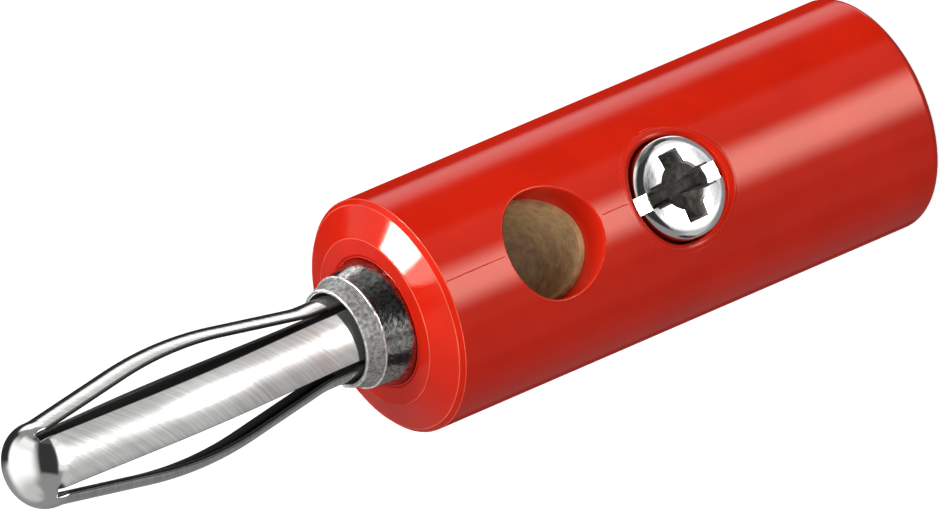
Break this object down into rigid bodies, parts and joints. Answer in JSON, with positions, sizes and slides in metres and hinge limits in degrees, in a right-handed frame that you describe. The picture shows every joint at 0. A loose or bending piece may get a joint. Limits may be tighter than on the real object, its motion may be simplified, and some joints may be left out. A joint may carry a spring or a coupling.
{
  "type": "banana plug",
  "caption": "Screw-clamp banana plug with a moulded round sleeve, a cross hole for stacking, a side clamp screw and a domed spring-leaf contact pin.",
  "frame": {"origin": "centre of the flat rear face, on the plug's axis; the plug stands on this face", "axes": "+Z along the plug's axis towards the tip of the pin, -Y along the clamp screw's axis towards its head, +X completes a right-handed frame"},
  "size_m": [0.01, 0.0102, 0.0438],
  "materials": {
    "red_plastic": "moulded, glossy",
    "plated_insert": "nickel-plated brass, bare in the cross hole",
    "plated_spring": "nickel-plated spring bronze, polished",
    "plated_steel": "bright nickel-plated steel"
  },
  "bodies": {
    "body": {"insulating_sleeve": "red_plastic", "contact_insert": "plated_insert", "spring_cage": "plated_spring"},
    "screw": {"clamp_screw": "plated_steel"}
  },
  "joints": [
    {"name": "clamp_screw_turn", "type": "hinge", "parent": "body", "child": "screw", "pos_m": [0, 0, 0.01262], "axis": [0, -1, 0], "range_deg": [-315, 1485]}
  ]
}
